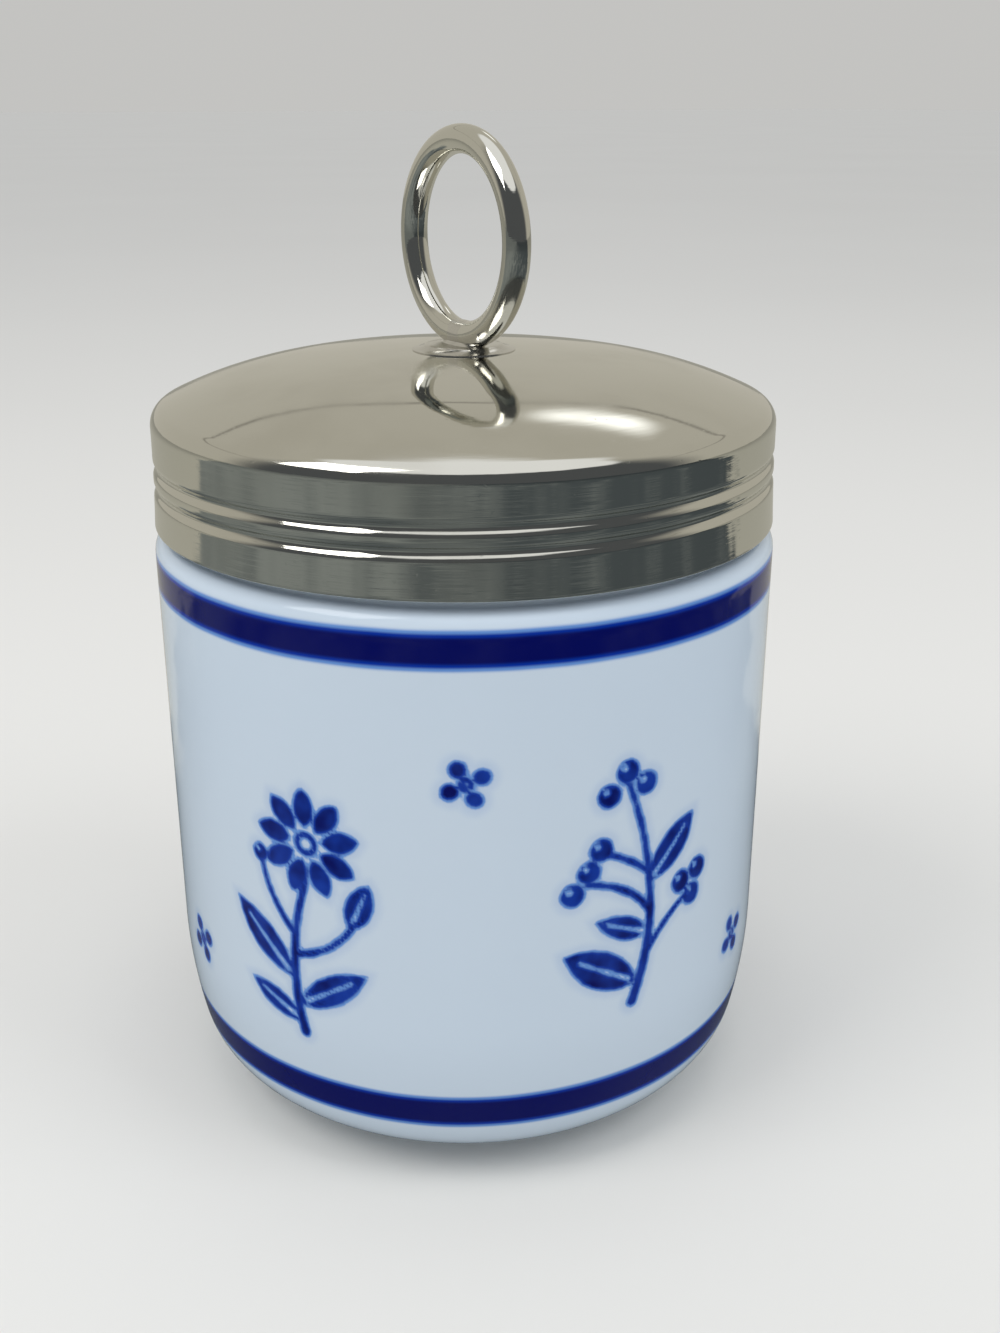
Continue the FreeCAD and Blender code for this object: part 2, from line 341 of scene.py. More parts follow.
# %% Brush marks
BRUSH_STEPS = 14
VEIN = 0.33
VEIN_START = 0.12
VEIN_END = 0.8
GLINT_ASIDE = 0.3
GLINT_UP = 0.35
GLINT_SIZE = 0.28
EYE_SIZE = 0.55
EYE_HALF = 0.3
FIRST_PETAL = 0.3


def dot(across, up, centre, radius):
    return np.hypot(across - centre[0], up - centre[1]) - radius


def straight_mark(across, up, start, end, start_half, end_half):
    """A mark between two points whose half width changes evenly."""
    run = np.subtract(end, start)
    share = ((across - start[0]) * run[0] + (up - start[1]) * run[1]) / (run @ run)
    share = np.clip(share, 0, 1)
    reach = np.hypot(across - start[0] - share * run[0], up - start[1] - share * run[1])
    return reach - start_half - share * (end_half - start_half)


def bent_mark(across, up, start, pull, end, start_half, end_half):
    """A brush stroke from start to end, drawn towards the point pull on the way."""
    shares = np.linspace(0, 1, BRUSH_STEPS)[:, None]
    way = (1 - shares) ** 2 * start + 2 * shares * (1 - shares) * pull + shares ** 2 * np.array(end)
    halves = np.linspace(start_half, end_half, BRUSH_STEPS)
    marks = [
        straight_mark(across, up, way[i], way[i + 1], halves[i], halves[i + 1])
        for i in range(BRUSH_STEPS - 1)
    ]
    return np.minimum.reduce(marks)


def leaf(across, up, base, tip, width, veined=True):
    """A pointed leaf between two equal arcs, with its middle vein left white."""
    base, tip = np.array(base), np.array(tip)
    run = tip - base
    length = np.hypot(*run)
    bend = (length ** 2 / 4 + width ** 2 / 4) / width
    side = np.array([-run[1], run[0]]) / length * (bend - width / 2)
    middle = (base + tip) / 2
    shape = np.maximum(dot(across, up, middle + side, bend), dot(across, up, middle - side, bend))
    if not veined:
        return shape
    vein = straight_mark(across, up, base + run * VEIN_START, base + run * VEIN_END, VEIN, VEIN / 2)
    return np.maximum(shape, -vein)


def berry(across, up, centre, radius):
    """A round berry with a small glint left white."""
    glint_centre = (centre[0] - radius * GLINT_ASIDE, centre[1] + radius * GLINT_UP)
    glint = dot(across, up, glint_centre, radius * GLINT_SIZE)
    return np.maximum(dot(across, up, centre, radius), -glint)


def flower(across, up, centre, petals, inner, outer, width):
    """Petals round a ring."""
    marks = [np.abs(dot(across, up, centre, inner * EYE_SIZE)) - EYE_HALF]
    for number in range(petals):
        angle = math.tau * (number + FIRST_PETAL) / petals
        way = np.array([math.cos(angle), math.sin(angle)])
        marks.append(leaf(across, up, centre + way * inner, centre + way * outer, width, veined=False))
    return np.minimum.reduce(marks)


# %% [markdown]
# Three kinds of sprig are drawn from those marks: an open flower with a bud, a twig of berries and a small
# leafy branch. They are plain garden ornaments of the sort that any painter of blue and white ware would
# use.

# %% The three sprigs and the loose floret
BERRY_RADIUS = 1.3
BRANCH_LEANS = (1.9, 1.0, 0.0, -0.7, -0.5, 0.4)
BRANCH_STEP = 3.9
LEAF_LENGTH = 8.2
LEAF_SHORTER = 0.85
LEAF_SPREAD = 52
LEAF_CLOSER = 3
LEAF_WIDTH = 0.4


def flower_sprig(across, up):
    return np.minimum.reduce([
        bent_mark(across, up, (0, 0), (-2.2, 9), (1.0, 18.6), 0.55, 0.38),
        flower(across, up, np.array([1.3, 23.0]), petals=9, inner=1.9, outer=6.1, width=2.35),
        leaf(across, up, (-0.9, 6.5), (-8.8, 13.8), 3.6),
        leaf(across, up, (-0.5, 3.4), (7.6, 8.6), 3.3),
        leaf(across, up, (-0.1, 1.4), (-7.2, 4.4), 2.6),
        bent_mark(across, up, (-0.8, 9.5), (4.2, 10.6), (6.6, 14.8), 0.38, 0.3),
        leaf(across, up, (6.0, 14.0), (8.2, 19.4), 2.9),
        bent_mark(across, up, (-0.7, 12), (-4.0, 15.5), (-4.6, 19.5), 0.34, 0.28),
        berry(across, up, (-4.8, 20.4), 1.0),
    ])


def berry_sprig(across, up):
    places = [
        (8.2, 10.4), (6.4, 12.5), (9.0, 13.2),
        (-5.6, 16.9), (-7.4, 14.6), (-4.3, 19.2),
        (-1.4, 27.4), (0.9, 25.7), (-3.5, 25.1),
    ]
    marks = [berry(across, up, place, BERRY_RADIUS) for place in places]
    return np.minimum.reduce(marks + [
        bent_mark(across, up, (0, 0), (4.6, 11), (-1.2, 26), 0.6, 0.3),
        bent_mark(across, up, (1.2, 4.6), (3.4, 8.6), (7.6, 10.8), 0.4, 0.3),
        bent_mark(across, up, (2.0, 10.6), (-0.5, 14.5), (-5.9, 15.6), 0.4, 0.3),
        bent_mark(across, up, (1.4, 15.5), (-1.5, 18.0), (-4.0, 18.6), 0.34, 0.28),
        leaf(across, up, (0.5, 2.4), (-8.2, 7.4), 4.2),
        leaf(across, up, (1.7, 14.0), (7.8, 20.4), 3.6),
        leaf(across, up, (2.0, 8.0), (-4.6, 10.8), 2.6),
    ])


def branch_sprig(across, up):
    """Leaves in pairs up a bent stem, each pair shorter and closer to the stem than the one below."""
    marks = [
        bent_mark(across, up, (-2.0, 0), (4.6, 8), (1.2, 16), 0.6, 0.45),
        bent_mark(across, up, (1.2, 16), (-1.0, 21), (1.8, 26), 0.45, 0.28),
        leaf(across, up, (1.6, 25.2), (3.6, 30.0), 2.0),
    ]
    foot = np.array([-0.4, 2.6])
    for number, lean in enumerate(BRANCH_LEANS):
        length = LEAF_LENGTH - LEAF_SHORTER * number
        for side in (LEFT, RIGHT):
            angle = math.radians(90 + side * (LEAF_SPREAD - LEAF_CLOSER * number))
            tip = foot + length * np.array([math.cos(angle), math.sin(angle)])
            marks.append(leaf(across, up, foot, tip, length * LEAF_WIDTH))
        foot = foot + np.array([lean, BRANCH_STEP])
    return np.minimum.reduce(marks)


def floret(across, up):
    return flower(across, up, np.array([0.0, 0.0]), petals=4, inner=0.9, outer=2.7, width=1.7)


# %% [markdown]
# Six sprigs stand round the wall at two heights, the three kinds by turns, and a loose floret sits above or
# below each gap. The distance from the nearest mark, turned round so that ink is more than nothing, goes
# into an attribute called cobalt. The test for the wall reaches 6 mm deep, which is past the wall's 4.8 mm,
# so the few points of the well at those heights take sprigs too.

# %% Paint the wall
SPRIGS = (flower_sprig, berry_sprig, branch_sprig)
SPRIG_COUNT = 6
SPRIG_BEARING = math.radians(-153)
SPRIG_LOW = 18.6
SPRIG_LIFT = 3.4
FLORET_LOW = 22.5
FLORET_HIGH = 50.0
FARTHEST = 1.6
PAINT_DEPTH = 6
SPRIG_REACH = 14

points = read_points(cup.data)
bearings = np.arctan2(points[:, 1], points[:, 0])
on_wall = (np.hypot(points[:, 0], points[:, 1]) > CUP_RADIUS - PAINT_DEPTH) & (points[:, 2] < PAINT_TOP)
nearest = np.full(len(points), FARTHEST)
for number in range(SPRIG_COUNT):
    raised = number % 2
    for step, low, draw in (
        (number, SPRIG_LOW + SPRIG_LIFT * raised, SPRIGS[number % len(SPRIGS)]),
        (number + 0.5, FLORET_LOW if raised else FLORET_HIGH, floret),
    ):
        bearing = SPRIG_BEARING + math.tau * step / SPRIG_COUNT
        across = ((bearings - bearing + math.pi) % math.tau - math.pi) * CUP_RADIUS
        near = on_wall & (np.abs(across) < SPRIG_REACH)
        nearest[near] = np.minimum(nearest[near], draw(across[near], points[near, 2] - low))

cobalt = cup.data.attributes.new("cobalt", "FLOAT", "POINT")
cobalt.data.foreach_set("value", -np.clip(nearest, -FARTHEST, FARTHEST))
print("painted points:", int((nearest < 0).sum()), "of", len(points))

# %% [markdown]
# ## The lid
# The lid is one thin pressed sheet, so both of its skins are drawn in one closed outline: over the crown,
# round the tight corner, down the slightly flared skirt, round the hem and back up inside. The crown has two
# curves, a flat one in the middle and a rounder one that clears the cup's rim by a tenth of a millimetre.
# Their centres follow from that.

# %% Turn the lid
LID_STEPS = 400

turn_rise = math.sqrt(CROWN_CURVE ** 2 - CROWN_TURN ** 2)
edge_share = 1 - EDGE_CURVE / CROWN_CURVE
edge_x = CROWN_TURN * edge_share
rim_reach = EDGE_CURVE - SHEET - rim_round - RIM_CLEARANCE
edge_z = rim_start - math.sqrt(rim_reach ** 2 - (rim_middle - edge_x) ** 2)
crown_centre = edge_z - turn_rise * edge_share
corner_reach = EDGE_CURVE - CORNER_RADIUS
corner_run = SKIRT_RADIUS - CORNER_RADIUS - edge_x
corner_rise = math.sqrt(corner_reach ** 2 - corner_run ** 2)
corner_height = edge_z + corner_rise
hem_start = HEM_HEIGHT + HEM_ROUND


def on_edge(inset):
    """Where the crown's outer part, or a curve inside it, meets the corner."""
    share = (EDGE_CURVE - inset) / corner_reach
    return edge_x + corner_run * share, edge_z + corner_rise * share


def on_turn(inset):
    """Where the crown's middle, or a curve inside it, runs into its outer part."""
    share = 1 - inset / CROWN_CURVE
    return CROWN_TURN * share, crown_centre + turn_rise * share


def skirt_at(height, inset=0.0):
    """Radius of the skirt's outer face, or of one inside it, at a height."""
    drop = corner_height - height
    return SKIRT_RADIUS + SKIRT_CURVE - np.sqrt((SKIRT_CURVE + inset) ** 2 - drop ** 2)


seat_inside = crown_centre + (SEAT_HEIGHT - crown_centre) * (CROWN_CURVE - SHEET) / CROWN_CURVE
hem_outside = float(skirt_at(hem_start))
hem_inside = float(skirt_at(hem_start, SHEET))
lid = draw_outline("lid_polished", [
    (0, SEAT_HEIGHT, 2),
    (SEAT_RADIUS, SEAT_HEIGHT, 14, CROWN_CURVE, RIGHT),
    (*on_turn(0), 22, EDGE_CURVE, RIGHT),
    (*on_edge(0), 14, CORNER_RADIUS, RIGHT),
    (SKIRT_RADIUS, corner_height, 66, SKIRT_CURVE, LEFT),
    (hem_outside, hem_start, 4, HEM_ROUND, RIGHT),
    (hem_outside - HEM_ROUND, HEM_HEIGHT, 1),
    (hem_inside + HEM_ROUND, HEM_HEIGHT, 4, HEM_ROUND, RIGHT),
    (hem_inside, hem_start, 50, SKIRT_CURVE + SHEET, RIGHT),
    (SKIRT_RADIUS - SHEET, corner_height, 6, CORNER_RADIUS - SHEET, LEFT),
    (*on_edge(SHEET), 10, EDGE_CURVE - SHEET, LEFT),
    (*on_turn(SHEET), 8, CROWN_CURVE - SHEET, LEFT),
    (SEAT_RADIUS * (CROWN_CURVE - SHEET) / CROWN_CURVE, seat_inside, 2),
    (0, seat_inside, 0),
])
turn_outline(lid, LID_STEPS)

# %% [markdown]
# Rollers pressed the thread into the skirt from outside, so the whole sheet moves inwards along it: a soft
# groove outside and a ridge inside that catches under the cup's thread.

# %% Roll the thread into the skirt
LID_THREAD_HEIGHT = 72.2
LID_THREAD_DEPTH = 0.4
LID_THREAD_HALF = 0.9

points = read_points(lid.data)
below_crown = points[:, 2] < corner_height
depth = thread_strength(points, LID_THREAD_HEIGHT, LID_THREAD_HALF) * LID_THREAD_DEPTH
push_out(points, np.where(below_crown, -depth, 0))
write_points(lid.data, points)
print("groove is up to", round(float(depth[below_crown].max()), 2), "mm deep")

# %% [markdown]
# ## The lifting ring
# The ring is a length of round wire bent until its ends meet at the foot. A circle of wire is spun about
# the ring's centre, stopping just short of a full turn, and the foot is filed flat to sit on its solder.

# %% Bend the wire
WIRE_SIDES = 40
RING_STEPS = 220
RING_GAP = 0.3


def bend_wire(name, first, spread, steps):
    """Spin wire about the ring's centre, from an angle past the foot."""
    start = Vector((0, math.sin(first) * RING_RADIUS, RING_HEIGHT - math.cos(first) * RING_RADIUS))
    bpy.ops.mesh.primitive_circle_add(
        vertices=WIRE_SIDES, radius=WIRE_RADIUS * MM,
        location=start * MM, rotation=(math.pi / 2 + first, 0, 0),
    )
    piece = bpy.context.object
    piece.name = piece.data.name = name
    bpy.ops.object.transform_apply(location=True, rotation=True, scale=True)
    bpy.ops.object.mode_set(mode="EDIT")
    bpy.ops.mesh.select_all(action="SELECT")
    bpy.ops.mesh.spin(
        steps=steps, angle=-spread, center=(0, 0, RING_HEIGHT * MM), axis=(1, 0, 0), use_auto_merge=False
    )
    bpy.ops.object.mode_set(mode="OBJECT")
    return piece


def close_and_file(piece):
    """Close the wire's two ends and file its foot flat."""
    bpy.ops.object.mode_set(mode="EDIT")
    bpy.ops.mesh.select_all(action="SELECT")
    bpy.ops.mesh.fill_holes(sides=0)
    bpy.ops.mesh.select_all(action="SELECT")
    bpy.ops.mesh.bisect(
        plane_co=(0, 0, RING_FOOT * MM), plane_no=(0, 0, -1),
        use_fill=True, clear_outer=True, threshold=MERGE_WITHIN,
    )
    bpy.ops.mesh.select_all(action="SELECT")
    bpy.ops.mesh.normals_make_consistent(inside=False)
    bpy.ops.object.mode_set(mode="OBJECT")
    bpy.ops.object.shade_smooth_by_angle(angle=SMOOTH_BELOW)
    foot = min(point.co.z for point in piece.data.vertices) / MM
    print(piece.name, len(piece.data.vertices), "points, foot at", round(foot, 3))


gap = RING_GAP / RING_RADIUS
ring = bend_wire("ring_wire", gap / 2, math.tau - gap, RING_STEPS)
close_and_file(ring)

# %% [markdown]
# ## The solder
# Molten solder spreads into a round puddle with a hollow edge, and creeps up the wire a little. The puddle
# is turned like the cup. What clings to the wire is a second small mound, made longer along the wire.

# %% Turn the puddle
PUDDLE_STEPS = 96
PUDDLE_EDGE = 0.1
PUDDLE_SLOPE = 1.5
PUDDLE_CURVE = 3.0

puddle = draw_outline("solder_puddle", [
    (0, SEAT_HEIGHT, 4),
    (SOLDER_RADIUS, SEAT_HEIGHT, 2),
    (SOLDER_RADIUS, SEAT_HEIGHT + PUDDLE_EDGE, 10, PUDDLE_CURVE, RIGHT),
    (SOLDER_RADIUS - PUDDLE_SLOPE, solder_high.z, 6),
    (0, solder_high.z, 0),
])
turn_outline(puddle, PUDDLE_STEPS)

# %% Shape what clings to the wire
CLING_RADIUS = 2.4
CLING_FOOT = SEAT_HEIGHT + 0.15
CLING_RISE = 1.65
CLING_CURVE = 2.6
CLING_TOP_RADIUS = 1.0
CLING_STRETCH = 2.15
CLING_STEPS = 64

cling = draw_outline("solder_fillet", [
    (0, CLING_FOOT, 3),
    (CLING_RADIUS, CLING_FOOT, 12, CLING_CURVE, RIGHT),
    (CLING_TOP_RADIUS, CLING_FOOT + CLING_RISE, 3),
    (0, CLING_FOOT + CLING_RISE, 0),
])
turn_outline(cling, CLING_STEPS)
bpy.ops.object.mode_set(mode="EDIT")
bpy.ops.mesh.select_all(action="SELECT")
bpy.ops.transform.resize(value=(1, CLING_STRETCH, 1), center_override=(0, 0, CLING_FOOT * MM))
bpy.ops.object.mode_set(mode="OBJECT")

# %% [markdown]
# Solder also fills the joint between the wire's two ends. A short length of wire is bent over the joint,
# and swelled until it stands a hair proud in the middle and sinks into the wire at both ends.

# %% Fill the joint
JOINT_SPREAD = math.radians(24)
JOINT_SUNK = 0.04
JOINT_PROUD = 0.07
JOINT_STEPS = 30
JOINT_RAGGED = 0.18
JOINT_TONGUES = 3

joint = bend_wire("solder_joint", -JOINT_SPREAD / 2, JOINT_SPREAD, JOINT_STEPS)
points = read_points(joint.data)
angle = np.arctan2(points[:, 1], RING_HEIGHT - points[:, 2])
ring_line = [0 * angle, np.sin(angle) * RING_RADIUS, RING_HEIGHT - np.cos(angle) * RING_RADIUS]
middle = np.stack(ring_line, axis=1)
side = np.arctan2(points[:, 0], np.hypot(points[:, 1], points[:, 2] - RING_HEIGHT) - RING_RADIUS)
ragged = 1 + JOINT_RAGGED * np.sin(JOINT_TONGUES * side)
reach = np.cos(np.clip(angle / JOINT_SPREAD * ragged, -0.5, 0.5) * math.pi) ** 2
swell = 1 + ((JOINT_SUNK + JOINT_PROUD) * reach - JOINT_SUNK) / WIRE_RADIUS
write_points(joint.data, middle + (points - middle) * swell[:, None])
print("joint filled from", *np.degrees([angle.min(), angle.max()]).round(1), "degrees past the foot")
close_and_file(joint)

# %% [markdown]
# ## Each piece takes its place
# A new piece hides the solid that it stands for and moves with the same body. The mound and the joint stand
# for nothing: they only turn with the ring.

# %% Ride and replace
for piece, body, node, slot in (
    (cup, "cup", "porcelain_cup", "porcelain"),
    (lid, "lid", "screw_lid", "lid_metal"),
    (ring, "lid", "lifting_ring", "ring_metal"),
    (puddle, "lid_carrier", "ring_solder", "solder"),
    (cling, "lid", None, "solder"),
    (joint, "lid", None, "solder"),
):
    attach(piece, body)
    if node:
        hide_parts(node)

# %% [markdown]
# ## Building materials in code
# A material is a small graph. One helper adds a node, sets it up and fills its sockets, either with a value
# or with another node's output, so that each material below reads from top to bottom.

# %% Node helpers
def input_socket(node, name):
    """A socket is named with underscores for its spaces, or in<number>."""
    if name.startswith("in") and name[2:].isdigit():
        return node.inputs[int(name[2:])]
    return node.inputs[name.replace("_", " ")]


def put(tree, kind, settings=None, **sockets):
    """Add a node, set it up and fill its sockets with values or with other nodes' outputs."""
    node = tree.nodes.new(kind)
    for name, value in (settings or {}).items():
        setattr(node, name, value)
    for name, value in sockets.items():
        socket = input_socket(node, name)
        if isinstance(value, bpy.types.NodeSocket):
            tree.links.new(value, socket)
        else:
            socket.default_value = value
    return node


def reckon(tree, operation, *values, clamp=False):
    """One Math node's result."""
    sockets = {f"in{number}": value for number, value in enumerate(values)}
    return put(tree, "ShaderNodeMath", {"operation": operation, "use_clamp": clamp}, **sockets).outputs[0]


def rise_between(tree, value, low, high):
    """0 below low, 1 above high and soft between."""
    settings = {"interpolation_type": "SMOOTHSTEP"}
    return put(tree, "ShaderNodeMapRange", settings, Value=value, From_Min=low, From_Max=high).outputs[0]


def strip_between(tree, value, low, high, soft):
    """1 from low to high, with soft edges."""
    above = rise_between(tree, value, low - soft, low + soft)
    return reckon(tree, "MULTIPLY", above, rise_between(tree, value, high + soft, high - soft))


def noise(tree, where, scale, detail=2.0):
    return put(tree, "ShaderNodeTexNoise", Vector=where, Scale=scale, Detail=detail).outputs[0]


def wobble(tree, where, scale, size):
    """Noise that swings half its size up and down."""
    return reckon(tree, "MULTIPLY_ADD", noise(tree, where, scale), size, -size / 2)


def blend_colours(tree, share, under, over):
    node = put(tree, "ShaderNodeMix", {"data_type": "RGBA"}, in0=share, in6=under, in7=over)
    return node.outputs[2]


def new_material(name):
    material = bpy.data.materials.new(name)
    material.use_nodes = True
    tree = material.node_tree
    return material, tree, tree.nodes["Principled BSDF"]


def object_place(tree):
    return put(tree, "ShaderNodeTexCoord").outputs["Object"]


# %% [markdown]
# ## Glazed porcelain
# Under a clear hard glaze the body is a cool bluish white. Cobalt sinks into the glaze and bleeds a little,
# so its edges are soft: pale blue first, then a full blue, and near black where it lies thick. The bands
# are found by height alone, so they run round the well's wall too. The sprigs come from the attribute. The
# foot ring's underside is wiped bare of glaze.

# %% Porcelain material
GLAZE_WHITE = (0.545, 0.635, 0.735, 1)
COBALT_DEEP = (0.0, 0.0015, 0.088, 1)
COBALT_FULL = (0.0, 0.024, 0.29, 1)
COBALT_THIN = (0.12, 0.26, 0.60, 1)
BARE_CLAY = (0.66, 0.65, 0.62, 1)
BANDS = ((8.8, 12.6), (62.1, 65.5))
BAND_SOFT = 0.75
BAND_WOBBLE = 0.5
SPRIG_WOBBLE = 0.3
SPRIG_FADE = (-0.46, 0.40)
POOLED_LEAST = 0.5
POOLED_MORE = 0.7
THIN_AT = 0.3
FULL_AT = 0.68
BLED_FADE = (-1.5, -0.2)
BLED_SHARE = 0.2
BARE_FADE = (0.32, 0.12)
GLAZE_ROUGHNESS = 0.22
BARE_ROUGHER = 0.6
COAT_ROUGHNESS = 0.03
COAT_IOR = 1.4
RIPPLE_STRENGTH = 0.25
RIPPLE_HEIGHT = 0.0004


def paint_porcelain():
    material, tree, surface = new_material("cobalt_glaze")
    where = object_place(tree)
    height = reckon(tree, "MULTIPLY", put(tree, "ShaderNodeSeparateXYZ", Vector=where).outputs[2], 1 / MM)
    height = reckon(tree, "ADD", height, wobble(tree, where, scale=45.0, size=BAND_WOBBLE))

    ink = None
    for low, high in BANDS:
        band = strip_between(tree, height, low, high, BAND_SOFT)
        ink = band if ink is None else reckon(tree, "MAXIMUM", ink, band)

    edge = put(tree, "ShaderNodeAttribute", {"attribute_name": "cobalt"}).outputs["Fac"]
    edge = reckon(tree, "ADD", edge, wobble(tree, where, scale=900.0, size=SPRIG_WOBBLE))
    sprigs = rise_between(tree, edge, *SPRIG_FADE)
    pooled = reckon(tree, "MULTIPLY_ADD", noise(tree, where, scale=260.0), POOLED_MORE, POOLED_LEAST)
    sprigs = reckon(tree, "MULTIPLY", sprigs, pooled, clamp=True)
    ink = reckon(tree, "MAXIMUM", ink, sprigs)

    ramp = put(tree, "ShaderNodeValToRGB", Fac=ink)
    ramp.color_ramp.interpolation = "EASE"
    stops = ramp.color_ramp.elements
    stops[0].position, stops[0].color = 0.0, GLAZE_WHITE
    stops[1].position, stops[1].color = 1.0, COBALT_DEEP
    for position, colour in ((THIN_AT, COBALT_THIN), (FULL_AT, COBALT_FULL)):
        stops.new(position).color = colour

    bled = rise_between(tree, edge, *BLED_FADE)
    bled = reckon(tree, "MULTIPLY", bled, reckon(tree, "SUBTRACT", 1.0, ink))
    bled = reckon(tree, "MULTIPLY", bled, BLED_SHARE)
    painted = blend_colours(tree, bled, ramp.outputs[0], COBALT_THIN)
    bare = rise_between(tree, height, *BARE_FADE)
    tree.links.new(blend_colours(tree, bare, painted, BARE_CLAY), surface.inputs["Base Color"])
    rough = reckon(tree, "MULTIPLY_ADD", bare, BARE_ROUGHER, GLAZE_ROUGHNESS)
    tree.links.new(rough, surface.inputs["Roughness"])
    tree.links.new(reckon(tree, "SUBTRACT", 1.0, bare), surface.inputs["Coat Weight"])
    surface.inputs["Specular IOR Level"].default_value = 0.0
    surface.inputs["Coat Roughness"].default_value = COAT_ROUGHNESS
    surface.inputs["Coat IOR"].default_value = COAT_IOR
    wave = noise(tree, where, scale=55.0, detail=1.0)
    ripple = put(tree, "ShaderNodeBump", Height=wave, Strength=RIPPLE_STRENGTH, Distance=RIPPLE_HEIGHT)
    tree.links.new(ripple.outputs[0], surface.inputs["Normal"])
    return material


cup.data.materials.append(paint_porcelain())

# %% [markdown]
# ## Polishing marks
# Lid, ring and solder are all buffed. Buffing leaves fine marks that run round the piece and a slow wave in
# the surface, and fingers leave dull patches. This is one effect in two materials, so it is a node group.
# It gives out only numbers: how rough each spot is, how high its surface stands and how tarnished it is.

# %% Node group for buffed metal
STARTING_VALUES = (("Smooth", 0.05), ("Dulled", 0.1))
RUN_ROUND = (1, 1, 20)
PATCH_FADE = (0.45, 0.72)
SPECK_FADE = (0.68, 0.78)
FINE_DULL = 0.45
SPECK_DULL = 0.5
WAVE_RISE = 1.6
FINE_RISE = 0.22
SPECK_RISE = -0.1


def buffing_group():
    group = bpy.data.node_groups.new("buffing_marks", "ShaderNodeTree")
    sockets = group.interface
    sockets.new_socket("Place", in_out="INPUT", socket_type="NodeSocketVector")
    for name, value in STARTING_VALUES:
        sockets.new_socket(name, in_out="INPUT", socket_type="NodeSocketFloat").default_value = value
    for name in ("Roughness", "Height", "Tarnish"):
        sockets.new_socket(name, in_out="OUTPUT", socket_type="NodeSocketFloat")
    given = group.nodes.new("NodeGroupInput").outputs
    result = group.nodes.new("NodeGroupOutput").inputs
    place = given["Place"]

    stretched = put(group, "ShaderNodeVectorMath", {"operation": "MULTIPLY"}, in0=place, in1=RUN_ROUND)
    fine = noise(group, stretched.outputs[0], scale=130.0, detail=4.0)
    patches = rise_between(group, noise(group, place, scale=70.0, detail=3.0), *PATCH_FADE)
    specks = rise_between(group, noise(group, place, scale=1500.0), *SPECK_FADE)

    dull = reckon(group, "MULTIPLY_ADD", specks, SPECK_DULL, patches)
    dull = reckon(group, "MULTIPLY_ADD", fine, FINE_DULL, dull)
    rough = reckon(group, "MULTIPLY_ADD", dull, given["Dulled"], given["Smooth"])
    group.links.new(rough, result["Roughness"])
    wave = noise(group, place, scale=110.0, detail=1.0)
    grain = reckon(group, "MULTIPLY_ADD", specks, SPECK_RISE, reckon(group, "MULTIPLY", fine, FINE_RISE))
    group.links.new(reckon(group, "MULTIPLY_ADD", wave, WAVE_RISE, grain), result["Height"])
    group.links.new(patches, result["Tarnish"])
    return group


buffing = buffing_group()

# %% [markdown]
# ## Nickel plate and solder
# The lid and the ring are nickel plated: a warm grey mirror. Solder is softer and less yellow, and stays
# duller. Each material places the same buffing group with its own numbers.

# %% Metal materials
NICKEL = (0.66, 0.655, 0.605, 1)
NICKEL_TARNISHED = (0.52, 0.51, 0.45, 1)
SOLDER = (0.62, 0.61, 0.58, 1)
SOLDER_TARNISHED = (0.45, 0.44, 0.41, 1)
TARNISH = 0.35
MARK_STRENGTH = 0.9
MARK_HEIGHT = 0.00003


def metal(name, colour, tarnished, smooth, dulled):
    material, tree, surface = new_material(name)
    settings = {"node_tree": buffing}
    where = object_place(tree)
    marks = put(tree, "ShaderNodeGroup", settings, Place=where, Smooth=smooth, Dulled=dulled).outputs
    tint = blend_colours(tree, reckon(tree, "MULTIPLY", marks["Tarnish"], TARNISH), colour, tarnished)
    surface.inputs["Metallic"].default_value = 1.0
    tree.links.new(tint, surface.inputs["Base Color"])
    tree.links.new(marks["Roughness"], surface.inputs["Roughness"])
    raised = put(
        tree, "ShaderNodeBump", Height=marks["Height"], Strength=MARK_STRENGTH, Distance=MARK_HEIGHT
    )
    tree.links.new(raised.outputs[0], surface.inputs["Normal"])
    return material


nickel = metal("buffed_nickel", NICKEL, NICKEL_TARNISHED, smooth=0.02, dulled=0.11)
bright_solder = metal("bright_solder", SOLDER, SOLDER_TARNISHED, smooth=0.12, dulled=0.14)
for piece in (lid, ring):
    piece.data.materials.append(nickel)
for piece in (puddle, cling, joint):
    piece.data.materials.append(bright_solder)

# %% [markdown]
# ## The studio
# Polished metal shows the room more than itself, so the room is kept simple: a pale floor, a pale sky and
# soft lamps. A photographer also lays a card beside metal to give it an edge. The card here is dark in front
# of the pot and pale well behind it, and its dark part is paler in streaks and more so towards the left. It
# is seen only in reflections.

# %% Camera
CAMERA_BEARING = math.radians(-32.7)
CAMERA_DISTANCE = 164.34
CAMERA_HEIGHT = 112.12
CAMERA_DOWN = math.radians(21.05)
CAMERA_ASIDE = math.radians(1.39)
CAMERA_LENS = 39.74
CAMERA_NEAR = 0.01

camera = bpy.data.objects.new("camera", bpy.data.cameras.new("camera"))
bpy.context.scene.collection.objects.link(camera)
to_camera = Vector((math.sin(CAMERA_BEARING), -math.cos(CAMERA_BEARING), 0))
to_right = to_camera.cross((0, 0, -1))
camera.location = (to_camera * CAMERA_DISTANCE + Vector((0, 0, CAMERA_HEIGHT))) * MM
camera.rotation_euler = (math.pi / 2 - CAMERA_DOWN, 0, CAMERA_BEARING - CAMERA_ASIDE)
camera.data.lens = CAMERA_LENS
camera.data.clip_start = CAMERA_NEAR
bpy.context.scene.camera = camera

# %% Floor and card
FLOOR_SIZE = 30
FLOOR_PALE = (0.73, 0.725, 0.705, 1)
FLOOR_SHADE = (0.70, 0.695, 0.675, 1)
MATT_ROUGHNESS = 0.8


